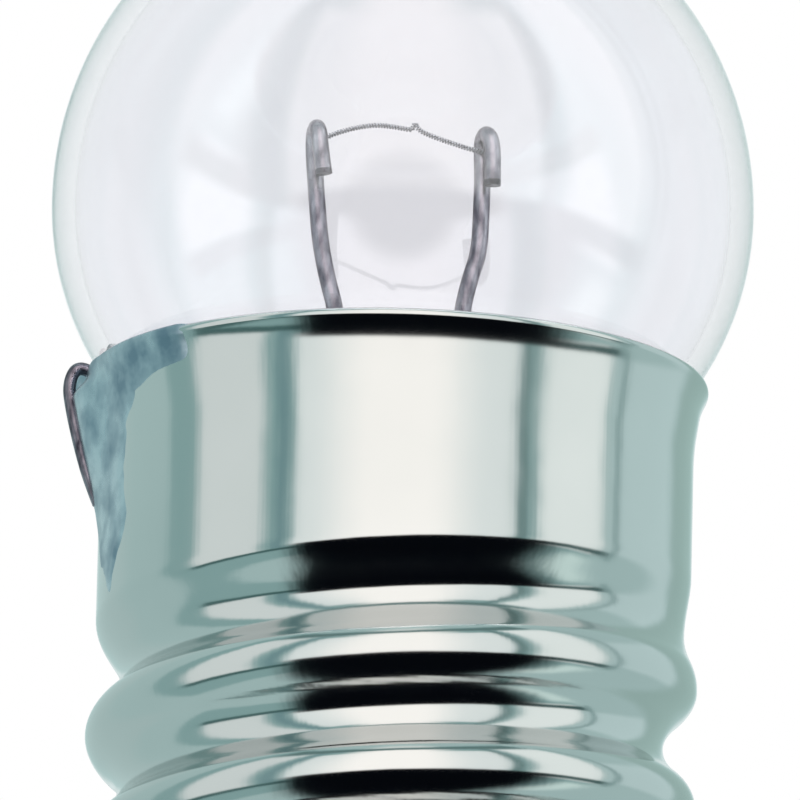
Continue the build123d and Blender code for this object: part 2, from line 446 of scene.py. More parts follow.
# Lead glass melted over the wires: a pale green drop with soft glints on its uneven skin
BEAD = Finish(
    "lead_glass_fused",
    Slot.BEAD_GLASS,
    (Pattern(size=0.25, rough=(0.04, 0.14), depth=0.02),),
    tint="#CFE6E0",
    plain=(("IOR", 1.56), ("Transmission Weight", 0.85)),
)

# Drawn nickel-iron: dull mauve grey with dark flecks
LEAD = wire_finish(
    "nickel_iron_wire_drawn", Slot.LEAD_WIRE, ("#A09CA2", "#6A666E"), rough=(0.28, 0.48), fleck=0.13
)

# The same wire at the snipped tip of each hook, painted dark grey to black as the shade on its end
CUT_END_PAINTED_SHADE = wire_finish(
    "nickel_iron_wire_tip_painted_shade", Slot.LEAD_WIRE, ("#5C5960", "#1E1C22"), rough=(0.32, 0.52), fleck=0.13
)

# The same wire outside the seal, painted darker as shade, and shinier
LEAD_END_PAINTED_SHADE = wire_finish(
    "nickel_iron_wire_outer_painted_shade", Slot.LEAD_WIRE, ("#8C8690", "#3E3A44"), rough=(0.22, 0.42), fleck=0.13
)

# Coiled tungsten: an even light grey, so that the coil reads as a fine thread
TUNGSTEN = wire_finish(
    "tungsten_wire_coiled", Slot.TUNGSTEN, ("#B8B8BE", "#9E9DA4"), rough=(0.37, 0.57), fleck=0.05
)

# Tin-lead solder laid with a hand iron: blue-grey satin with soft ripples and a frosted skin
SOLDER = Finish(
    "tin_solder_hand_laid",
    Slot.SOLDER,
    (
        Pattern(
            size=0.7, detail=4.0, colours=("#BDCBD3", "#788F9F"), contrast=(0.35, 0.65), rough=(0.2, 0.4)
        ),
        Pattern(size=0.5, depth=0.02),
    ),
    plain=METAL,
)

# Resin and chalk basing cement, baked: matt cream with a coarse grit
CEMENT = Finish(
    "basing_cement_baked",
    Slot.CEMENT,
    (Pattern(size=0.22, detail=4.0, colours=("#DDD6C4", "#B7AB92"), depth=0.05),),
    plain=(("Roughness", 0.9),),
)

# Black glass pressed hot into the shell: a deep gloss with paler swirls and a faint orange peel
BLACK_GLASS = Finish(
    "black_glass_pressed",
    Slot.BLACK_GLASS,
    (Pattern(size=0.5, colours=("#0D0C0F", "#1E1B22"), rough=(0.05, 0.16), depth=0.012),),
    plain=(("IOR", 1.52),),
)

# Brass stamped from strip: warm yellow under a thin brown bloom. Real rolling lines are finer: these are as
# coarse as they need to be to show
BRASS = Finish(
    "brass_strip_stamped",
    Slot.BRASS,
    (
        Pattern(size=0.9, detail=3.0, colours=("#D8B56A", "#A8823F")),
        Pattern(size=0.06, stretch=(20.0, 1.0, 1.0), rough=(0.2, 0.36), depth=0.004),
    ),
    plain=METAL,
)


# Sub-assemblies


@dataclass
class SubAssembly(ABC):
    """Pieces that belong together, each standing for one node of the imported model."""

    made: list[str] = field(default_factory=list, init=False)

    @abstractmethod
    def build(self) -> None:
        """Models the pieces and dresses them."""

    def dress(self, piece: bpy.types.Object, node: str, finish: Finish, crease: float = 40.0) -> None:
        """Gives a piece its finish and puts it in its node's place.

        Args:
            piece: the finished mesh.
            node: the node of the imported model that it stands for.
            finish: its finish.
            crease: sharpest edge that is shaded smooth, in degrees.
        """
        smooth(piece, crease)
        if not piece.data.materials:
            piece.data.materials.append(finish.material())
        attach(piece, BODY)
        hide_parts(node)
        self.made.append(piece.name)


@dataclass
class ScrewShell(SubAssembly):
    """Thin shell: round rolled thread that runs out into a plain collar with a flared rim."""

    rim: float = 13.5
    crest: float = 4.68
    depth: float = 0.51
    pitch: float = 1.814
    # Share of true arcs in the thread's form: the rest is a plain wave
    fullness: float = 0.7
    front_crest_drop: float = 5.25
    wall: float = 0.18
    bottom: float = 2.9
    hole: float = 3.1
    foot_inset: float = 0.8
    taper_height: float = 1.2
    corner: float = 0.5
    collar_inset: float = 0.12
    collar_height: float = 3.4
    inset_start: float = 1.35
    inset_end: float = 0.5
    plain_lift: float = 0.5
    # Rise of the helix over which the last groove runs out, and over which its upper flank turns gentle
    run_out: float = 0.65
    run_out_lead: float = 0.05
    gentle_start: float = 1.6
    gentle_end: float = 0.9
    flare_height: float = 1.0
    flare_blend: float = 0.3
    flare_slope: float = 0.15
    flare_curl: float = 0.5
    curl_start: float = 0.5
    lip_lean: float = 27.0
    notch_width: float = 0.28
    notch_depth: float = 0.4
    notch_reach: float = 0.9
    soft: float = 0.05
    blank_margin: float = 0.5
    blank_slack: float = 0.01
    inner_drop: float = 0.05
    segments: int = 192
    row: float = 0.06

    @property
    def collar(self) -> float:
        """Radius of the plain collar."""
        return self.crest - self.collar_inset

    @property
    def collar_bottom(self) -> float:
        """Height above which the collar is plain all round."""
        return self.rim - self.collar_height

    @property
    def foot(self) -> float:
        """Radius of the taper at the shell's bottom."""
        return self.crest - self.foot_inset

    @property
    def lip_start(self) -> float:
        """Height where the cone of the rim goes over into its round lip."""
        return self.rim - self.wall / 2 * (1 + math.sin(math.radians(self.lip_lean)))

    def flare(self, height: float) -> float:
        """How far the cone of the rim stands out from the collar.

        Args:
            height: height in millimetres.

        Returns:
            The distance in millimetres.
        """
        up = min(height, self.lip_start) - self.rim + self.flare_height
        curl = self.flare_curl * max(up - self.curl_start, 0.0) ** 2
        return self.flare_slope * blended_max(up, 0.0, self.flare_blend) + curl

    def thread(self, angle: float, height: float) -> float:
        """Radius of the round thread, whose last groove runs out into the plain collar.

        Args:
            angle: bearing about the axis, in radians from +X towards +Y.
            height: height in millimetres.

        Returns:
            The radius on the outer face.
        """
        bend = ((self.pitch / 2) ** 2 + self.depth**2) / (4 * self.depth)
        front_crest = self.rim - self.front_crest_drop
        turns = (height - front_crest) / self.pitch - (angle / math.tau - FRONT_TURN)
        from_root = ((turns % 1.0) - 0.5) * self.pitch
        if abs(from_root) < self.pitch / 4:
            arcs = self.depth - bend + math.sqrt(bend**2 - from_root**2)
        else:
            arcs = bend - math.sqrt(bend**2 - (self.pitch / 2 - abs(from_root)) ** 2)
        wave = self.depth * (0.5 + 0.5 * math.cos(math.tau * from_root / self.pitch))
        front_root = front_crest + self.pitch / 2
        root = height - from_root
        gentle = ease(front_root - self.gentle_start, front_root - self.gentle_end, root)
        if from_root <= 0:
            gentle = 0.0
        groove = wave + self.fullness * (1.0 - gentle) * (arcs - wave)
        kept = ease(front_root + self.run_out, front_root - self.run_out_lead, root)
        inset = ease(self.collar_bottom - self.inset_start, self.collar_bottom - self.inset_end, height)
        return self.crest - self.collar_inset * inset - groove * kept

    def outside(self, angle: float, height: float) -> float:
        """Radius of the shell's outer face, with the same arguments as thread."""
        taper = self.foot + (height - self.bottom) * self.foot_inset / self.taper_height
        return blended_min(self.thread(angle, height), taper, self.soft) + self.flare(height)

    def section(self) -> tuple[list[Point], float]:
        """Half-section of the shell before its thread is rolled.

        Returns:
            The closed outline, and the radius at which its straight outer wall is drawn.
        """
        blank = self.crest + self.blank_margin
        lip = self.wall / 2
        slope = math.degrees(math.atan2(self.taper_height, self.foot_inset))
        tangent = self.corner * math.tan(math.radians(slope) / 2)
        centre = (self.foot - tangent, self.bottom + self.corner)
        bend = arc(centre, self.corner, -90, slope - 90, 8)
        inner_bend = arc(centre, self.corner - self.wall, slope - 90, -90, 6)
        plain = self.collar_bottom + self.plain_lift
        rows = int((plain - bend[-1][1]) / self.row)
        collar_top = self.rim - self.flare_height - self.flare_blend
        rim_start = self.rim - lip
        outer = run((blank, bend[-1][1] + self.row), (blank, plain), rows)
        outer += run((blank, plain), (blank, collar_top), 12)
        outer += run((blank, collar_top), (blank, self.lip_start), 24)
        lip_centre = (blank - lip * math.cos(math.radians(self.lip_lean)), rim_start)
        edge = arc(lip_centre, lip, -self.lip_lean, 180, 14)
        inner_blank = blank - self.wall
        inner = run((inner_blank, rim_start - self.inner_drop), (inner_blank, plain), 16)
        inner += run((inner_blank, plain), (inner_blank, inner_bend[0][1] + 2 * self.row), rows // 2)
        start = (self.hole, self.bottom)
        inside_floor = (self.hole, self.bottom + self.wall)
        return [start, *bend, *outer, *edge, *inner, *inner_bend, inside_floor, start], blank

    def build(self) -> None:
        """Turns the blank and rolls the thread into it."""
        outline, blank = self.section()
        piece = turned("screw_shell_rolled", outline, self.segments)
        straight = blank - self.wall - self.blank_slack

        def rolled(place: Vector) -> Vector:
            """Rolls a point of the blank's wall into the thread and dips the rim's notch.

            Args:
                place: the point on the blank.

            Returns:
                Its place on the finished shell.
            """
            radius = math.hypot(place.x, place.y)
            if radius < straight:
                return place
            angle = math.atan2(place.y, place.x)
            target = self.outside(angle % math.tau, place.z) - (blank - radius)
            off = abs(angle % math.tau - math.pi) * self.collar / self.notch_width
            near_rim = ease(self.rim - self.notch_reach, self.rim, place.z)
            dip = self.notch_depth * math.exp(-(off**4)) * near_rim
            return Vector((target * math.cos(angle), target * math.sin(angle), place.z - dip))

        reshape(piece, rolled)
        self.dress(piece, "screw_shell", NICKEL, crease=60.0)


@dataclass
class GlassEnvelope(SubAssembly):
    """Blown globe on a neck that is closed by a seal, with the exhaust tip below it."""

    radius: float = 5.414
    belly: float = 4.694
    centre: float = 16.2565
    wall: float = 0.35
    neck: float = 3.5
    waist: float = 1.2
    floor: float = 8.4
    seal: float = 1.3
    seal_corner: float = 0.9
    tip_length: float = 1.5
    tip_root: float = 0.85
    tip_end: float = 0.3
    tip_flare: float = 0.15
    tip_flare_height: float = 0.25
    segments: int = 160

    def wall_section(self, shrink: float, floor: float) -> list[Point]:
        """Half-section of the neck and globe from the foot's corner to the crown.

        Args:
            shrink: how far the wall is moved inwards.
            floor: height of the foot.

        Returns:
            Points from the bottom up.
        """
        offset = self.radius - self.belly
        neck = self.neck - shrink
        belly = self.belly - shrink
        waist = self.waist + shrink
        foot = self.seal_corner - shrink
        out = neck + waist - offset
        lean = math.degrees(math.acos(out / (belly + waist)))
        waist_height = self.centre - (belly + waist) * math.sin(math.radians(lean))
        points = arc((neck - foot, floor + foot), foot, -90, 0, 10)
        points += run((neck, floor + foot + 0.3), (neck, waist_height - 0.2), 6)
        points += arc((neck + waist, waist_height), waist, 180, 180 - lean, 10)
        points += arc((offset, self.centre), belly, -lean, 0, 28)[1:]
        points += arc((0, self.centre), self.radius - shrink, 0, 90, 48)[1:]
        return points

    def build(self) -> None:
        """Turns the outside and the hollow, and joins them to one wall of glass."""
        seal_bottom = self.floor - self.seal
        tip_bottom = seal_bottom - self.tip_length
        tip = arc((0, tip_bottom + self.tip_end), self.tip_end, -90, -15, 6)
        tip += [(self.tip_root, seal_bottom - self.tip_flare_height)]
        tip += [(self.tip_root + self.tip_flare, seal_bottom)]
        outer = turned("globe_glass", tip + self.wall_section(0.0, seal_bottom), self.segments)
        inside = [(0.0, self.floor), *self.wall_section(self.wall, self.floor)]
        hollow = turned("globe_hollow", inside, self.segments)
        bpy.ops.object.mode_set(mode="EDIT")
        bpy.ops.mesh.select_all(action="SELECT")
        bpy.ops.mesh.flip_normals()
        bpy.ops.object.mode_set(mode="OBJECT")
        self.dress(joined(outer, hollow), "glass_envelope", GLASS, crease=50.0)


@dataclass
class WireMount(SubAssembly):
    """Two hooked lead wires, the bead that ties them and the coiled filament between them."""

    thick: float = 0.26
    thin: float = 0.2
    half_spacing: float = 0.96
    seal_middle: float = 7.75
    # Length of each hook's tip whose faces take the painted shade
    tip_shade_reach: float = 0.16
    arch_depth: float = -0.2
    coil: float = 0.09
    coil_wire: float = 0.028
    coil_pitch: float = 0.044
    coil_steps: int = 10
    bead_height: float = 13.4
    bead_radius: float = 0.62
    bead_half_length: float = 1.44
    bead_pinch: float = 0.07
    bead_droop: float = 0.06
    bead_wobble: float = 0.03
    bead_lumps: float = 2.2

    def left_lead(self) -> list[Place]:
        """Route of the left lead's thick part.

        Returns:
            Control points from the seal to the end of the hook.
        """
        return [
            (-self.half_spacing, 0, self.seal_middle),
            (-self.half_spacing, 0, 10.0),
            (-0.95, 0, 12.4),
            (-0.95, 0, 13.6),
            (-0.97, 0, 14.55),
            (-1.13, 0, 15.1),
            (-1.26, 0, 15.7),
            (-1.33, 0, 16.4),
            (-1.385, 0, 17.0),
            (-1.4, 0, 17.28),
            (-1.395, -0.02, 17.44),
            (-1.36, -0.2, 17.5),
            (-1.32, -0.36, 17.4),
            (-1.29, -0.39, 17.13),
            (-1.225, -0.37, 16.7),
        ]

    def right_lead(self) -> list[Place]:
        """Route of the right lead's thick part.

        Returns:
            Control points from the seal to the end of the hook.
        """
        return [
            (self.half_spacing, 0, self.seal_middle),
            (self.half_spacing, 0, 10.0),
            (0.95, 0, 12.4),
            (0.93, 0, 13.6),
            (0.93, 0, 14.6),
            (1.06, 0, 15.2),
            (1.19, 0, 15.6),
            (1.21, 0, 16.2),
            (1.22, 0, 16.8),
            (1.205, 0, 17.12),
            (1.2, -0.02, 17.36),
            (1.25, -0.2, 17.46),
            (1.33, -0.36, 17.35),
            (1.37, -0.38, 17.05),
            (1.37, -0.36, 16.58),
        ]

    def shell_end(self) -> list[Place]:
        """Route of the left lead's thin end.

        Returns:
            Control points out of the seal, up beside the neck and over the rim.
        """
        return [
            (-self.half_spacing, 0, self.seal_middle),
            (-self.half_spacing, 0, 7.0),
            (-0.97, 0, 6.5),
            (-1.3, 0, 6.42),
            (-2.4, 0, 6.42),
            (-3.5, 0, 6.44),
            (-3.75, 0, 6.6),
            (-3.75, 0, 7.2),
            (-3.75, 0, 8.8),
            (-4.0, 0, 9.7),
            (-4.22, 0, 10.6),
            (-4.25, 0, 12.0),
            (-4.26, 0, 12.75),
            (-4.4, 0, 13.1),
            (-4.56, 0, 13.36),
            (-4.76, -0.04, 13.58),
            (-4.98, -0.08, 13.6),
            (-5.08, -0.12, 13.3),
            (-5.01, -0.16, 12.9),
            (-4.93, -0.2, 12.55),
            (-4.84, -0.25, 12.2),
            (-4.72, -0.28, 11.8),
            (-4.56, -0.3, 11.4),
        ]

    def contact_end(self) -> list[Place]:
        """Route of the right lead's thin end.

        Returns:
            Control points down through the insulator into the bottom solder.
        """
        return [
            (self.half_spacing, 0, self.seal_middle),
            (self.half_spacing, 0, 6.6),
            (0.95, 0, 5.5),
            (0.6, 0, 5.15),
            (0.08, 0, 4.85),
            (0.0, 0, 4.5),
            (0.0, 0, 2.6),
            (0.0, 0, 0.4),
        ]

    def arch(self) -> list[Place]:
        """Line of the filament, with its small kink.

        Returns:
            Control points from the left hook to the right one.
        """
        line = [
            (-1.36, 17.22),
            (-1.24, 17.32),
            (-1.02, 17.42),
            (-0.75, 17.5),
            (-0.49, 17.55),
            (-0.26, 17.54),
            (0.0, 17.5),
            (0.12, 17.48),
            (0.16, 17.62),
            (0.2, 17.48),
            (0.5, 17.36),
            (0.78, 17.27),
            (1.0, 17.2),
            (1.19, 17.16),
            (1.31, 17.14),
        ]
        return [(across, self.arch_depth, height) for across, height in line]

    def coiled(self) -> list[Place]:
        """Winds the filament's wire about its line.

        Returns:
            Points of the coil.
        """
        line = drawn_wire("filament_line", self.arch(), 0.0, 0, 12)
        stations = [vertex.co / MM for vertex in line.data.vertices]
        bpy.data.objects.remove(line)
        lengths = [0.0]
        for before, after in zip(stations, stations[1:]):
            lengths.append(lengths[-1] + (after - before).length)
        count = int(lengths[-1] / self.coil_pitch * self.coil_steps)
        radius = (self.coil - self.coil_wire) / 2
        back = Vector((0, 1, 0))
        points = []
        span = 0
        for step in range(count + 1):
            reach = lengths[-1] * step / count
            while span < len(lengths) - 2 and lengths[span + 1] < reach:
                span += 1
            share = (reach - lengths[span]) / (lengths[span + 1] - lengths[span])
            middle = stations[span].lerp(stations[span + 1], share)
            ahead = (stations[span + 1] - stations[span]).normalized()
            side = ahead.cross(back).normalized()
            turn = math.tau * step / self.coil_steps
            points.append(tuple(middle + side * radius * math.cos(turn) + back * radius * math.sin(turn)))
        return points

    def bead(self) -> bpy.types.Object:
        """Melts a bead of glass round the two leads.

        Returns:
            The bead: a drop, pinched between the wires and uneven from the flame.
        """
        deselect_all()
        bpy.ops.mesh.primitive_uv_sphere_add(segments=64, ring_count=40, radius=self.bead_radius * MM)
        piece = bpy.context.object
        piece.name = "lead_bead"
        stretch = self.bead_half_length / self.bead_radius

        def melted(place: Vector) -> Vector:
            """Draws a point of the round drop out along the wires.

            Args:
                place: the point on the round drop.

            Returns:
                Its place on the bead.
            """
            along = place.x * stretch
            pinch = self.bead_pinch * math.cos(math.pi * along / self.half_spacing)
            full = 1.0 - pinch + self.bead_wobble * noise.noise(place * self.bead_lumps)
            height = self.bead_height - self.bead_droop * math.cos(along)
            return Vector((along, place.y * full, place.z * full + height))

        reshape(piece, melted)
        return piece

    def lead(self, name: str, thick_route: list[Place], thin_route: list[Place]) -> bpy.types.Object:
        """Draws a lead: its thick part inside the globe, and its thin end outside the seal, painted darker
        as shade.

        Args:
            name: name of the lead.
            thick_route: route of the thick part.
            thin_route: route of the thin end.

        Returns:
            The lead as one piece, with its finishes: dull grey, painted shade at the snipped tip, and
                painted darker outside the seal as shade.
        """
        thick = drawn_wire(name, thick_route, self.thick, 5, 10)
        thin = drawn_wire(name + "_end", thin_route, self.thin, 4, 8)
        thick.data.materials.append(LEAD.material())
        # Second slot: painted shade for the hook's snipped tip
        thick.data.materials.append(CUT_END_PAINTED_SHADE.material())
        # The thin end's finish is painted darker, as shade
        thin.data.materials.append(LEAD_END_PAINTED_SHADE.material())
        # Faces near the hook's tip take the painted shade
        tip = Vector(thick_route[-1]) * MM
        for face in thick.data.polygons:
            if (face.center - tip).length < self.tip_shade_reach * MM:
                face.material_index = 1
        return joined(thick, thin)

    def build(self) -> None:
        """Draws the wires, winds the filament and melts the bead."""
        left = self.lead("shell_lead_wire", self.left_lead(), self.shell_end())
        self.dress(left, "shell_lead", LEAD)
        right = self.lead("contact_lead_wire", self.right_lead(), self.contact_end())
        self.dress(right, "contact_lead", LEAD)
        coil = drawn_wire("filament_coil", self.coiled(), self.coil_wire, 1, 2)
        self.dress(coil, "filament", TUNGSTEN, crease=80.0)
        self.dress(self.bead(), "glass_bead", BEAD, crease=180.0)


@dataclass
class RimJoint(SubAssembly):
    """What holds glass and shell together: the cement in the collar and the solder on the rim."""

    shell: ScrewShell = field(default_factory=ScrewShell)
    cement_gap: float = 0.02
    cement_inside: float = 3.52
    cement_lift: float = 0.35
    cement_drop: float = 0.8
    cement_waist: Point = (4.72, 11.9)
    cement_waist_radius: float = 1.19
    crumbs: float = 0.09
    crumb_rate: float = 2.5
    bearing: float = 183.0
    rise: float = 0.38
    half_width: float = 0.78
    shoulder: float = 0.3
    drop: float = 2.7
    film: float = 0.016
    film_reach: float = 3.5
    film_drop: float = 0.9
    film_slope: float = 0.22
    film_middle: float = 1.9
    strip_reach: float = 1.85
    strip_drop: float = 3.7
    back: float = -0.95
    sunk: float = 0.02
    # How often the solder's outline wavers in a millimetre, and the layer of noise that it follows
    slow_waver: Point = (1.3, 1.7)
    quick_waver: Point = (3.7, 4.2)
    skin_start: float = -2.2
    skin_spare: float = 2.6
    skin_top: float = -0.2
    skin_margin: float = 0.5

    def cement(self) -> bpy.types.Object:
        """Fills the collar round the neck, with an uneven top.

        Returns:
            The ring of cement.
        """
        outside = self.shell.collar - self.shell.wall - self.cement_gap
        inside = self.cement_inside
        bottom = self.shell.collar_bottom + self.cement_lift
        top = self.shell.rim - self.cement_drop
        section = run((outside, bottom), (outside, top), 10)
        section += run((outside, top), (inside + 0.35, top + 0.02), 8)
        section += arc(self.cement_waist, self.cement_waist_radius, 135, 180, 8)
        section += [(inside, bottom), (outside, bottom)]
        ring = turned("collar_cement", section, 128)

        def crumbled(place: Vector) -> Vector:
            """Roughens a point near the ring's top."""
            lift = self.crumbs * ease(top - 0.3, top, place.z)
            return place + Vector((0, 0, lift * noise.noise(place * self.crumb_rate)))

        reshape(ring, crumbled)
        return ring

    def blob(self, along: float, drop: float, waver: float) -> float:
        """Thickness of the blob in which the wire is sunk, with an open eye under the wire's arch.

        Args:
            along: distance round the collar from the blob's middle, towards the front.
            drop: distance below the rim's edge, negative on top of the edge.
            waver: slow noise at that place.

        Returns:
            Thickness in millimetres.
        """
        side = math.exp(-((abs(along) / self.half_width) ** 2.4))
        fall = min(max(drop - self.shoulder, 0.0) / (self.drop - self.shoulder), 1.0)
        crown = 0.2 + 0.8 * ease(-0.2, 0.34, drop)
        eye = 0.1 + 0.9 * ease(0.1, 0.45, drop)
        crown += ease(-0.42, -0.22, along) * (eye - crown)
        body = self.rise * side * (1.0 - fall**2) ** 2 * crown
        return max(body + 0.04 * side * waver * (1.0 - fall), 0.0)

    def wetted(self, along: float, drop: float, waver: float, ragged: float) -> float:
        """Share of the film where the solder has wetted the plate: along the rim and down the collar.

        Args:
            along: distance round the collar from the blob's middle, towards the front.
            drop: distance below the rim's edge, negative on top of the edge.
            waver: slow noise at that place.
            ragged: slow and quick noise at that place.

        Returns:
            One on the film, zero on bare plate.
        """
        front = self.film_reach + 0.12 * waver
        edge = self.film_drop - self.film_slope * (along - self.film_middle) + 0.1 * waver
        on_rim = ease(front + 0.08, front - 0.25, along) * ease(edge + 0.08, edge - 0.3, drop)
        taper = 0.25 * ease(1.3, 0.8, drop) - 0.5 * ease(2.6, 3.8, drop)
        strip = self.strip_reach + 0.14 * ragged + taper
        low = self.strip_drop + 0.35 * ragged
        on_collar = ease(strip + 0.1, strip - 0.3, along) * ease(low + 0.3, low - 0.3, drop)
        back = self.back + 0.12 * drop + 0.1 * drop**2 + 0.22 * ragged
        return max(on_rim, on_collar) * ease(back - 0.1, back + 0.3, along)

    def thickness(self, along: float, drop: float) -> float:
        """Thickness of the solder on the collar.

        Args:
            along: distance round the collar from the blob's middle, towards the front.
            drop: distance below the rim's edge, negative on top of the edge.

        Returns:
            Thickness in millimetres, below zero where there is none.
        """
        waver, flicker = (
            noise.noise(Vector((along * rate, drop * rate, layer)))
            for rate, layer in (self.slow_waver, self.quick_waver)
        )
        ragged = waver + 0.5 * flicker
        film = (self.film + self.sunk) * self.wetted(along, drop, waver, ragged)
        return self.blob(along, drop, waver) - self.sunk + film

    def skin(self) -> tuple[bpy.types.Object, list[Vector]]:
        """Lays the solder's outer skin over the rim's edge and down the collar.

        Returns:
            The skin, cut off where it would go under the plate, and a seat below each of its vertices.
        """
        deselect_all()
        bpy.ops.mesh.primitive_grid_add(x_subdivisions=180, y_subdivisions=120, size=2 * MM)
        piece = bpy.context.object
        piece.name = "rim_solder_blob"
        hidden: list[bool] = []
        seats: list[Vector] = []
        lowest = self.strip_drop + self.skin_margin

        def laid(place: Vector) -> Vector:
            """Lays a point of the flat grid on the collar, and notes its seat.

            Args:
                place: the point on the grid, which runs from -1 to 1 both ways.

            Returns:
                Its place on the solder.
            """
            along = self.skin_start + (place.x + 1) / 2 * (self.film_reach + self.skin_spare)
            drop = self.skin_top + (1 - place.y) / 2 * (lowest - self.skin_top)
            height = self.shell.rim - max(drop, 0.0)
            angle = math.radians(self.bearing) + along / self.shell.collar
            tilt = math.radians(88) * ease(0.16, -0.1, drop)
            thick = self.thickness(along, drop)
            seat = self.shell.outside(angle, height) - max(-drop, 0.0)
            ahead = Vector((math.cos(angle), math.sin(angle), 0.0))
            up = Vector((0.0, 0.0, 1.0))
            hidden.append(thick < -0.8 * self.sunk)
            if not hidden[-1]:
                seats.append(ahead * (seat - 2 * self.sunk) + up * (height - 2 * self.sunk))
            return ahead * (seat + thick * math.cos(tilt)) + up * (height + thick * math.sin(tilt))

        reshape(piece, laid)
        bpy.ops.object.mode_set(mode="EDIT")
        bpy.ops.mesh.select_all(action="DESELECT")
        bpy.ops.object.mode_set(mode="OBJECT")
        for vertex, under in zip(piece.data.vertices, hidden):
            vertex.select = under
        bpy.ops.object.mode_set(mode="EDIT")
        bpy.ops.mesh.delete(type="VERT")
        bpy.ops.object.mode_set(mode="OBJECT")
        return piece, seats

    def solder(self) -> bpy.types.Object:
        """Closes the solder's skin to a solid with a copy of it that lies on the seats.

        Returns:
            The blob with its wetted film.
        """
        piece, seats = self.skin()
        select_only(piece)
        bpy.ops.object.duplicate()
        seat_side = bpy.context.object
        for vertex, seat in zip(seat_side.data.vertices, seats):
            vertex.co = seat * MM
        joined(piece, seat_side)
        bpy.ops.object.mode_set(mode="EDIT")
        bpy.ops.mesh.select_mode(type="EDGE")
        bpy.ops.mesh.select_all(action="DESELECT")
        bpy.ops.mesh.select_non_manifold()
        bpy.ops.mesh.bridge_edge_loops()
        bpy.ops.mesh.select_all(action="SELECT")
        bpy.ops.mesh.normals_make_consistent(inside=False)
        bpy.ops.mesh.select_mode(type="VERT")
        bpy.ops.object.mode_set(mode="OBJECT")
        return piece

    def build(self) -> None:
        """Packs the cement and lays the solder."""
        self.dress(self.cement(), "basing_cement", CEMENT, crease=60.0)
        self.dress(self.solder(), "rim_solder", SOLDER, crease=120.0)


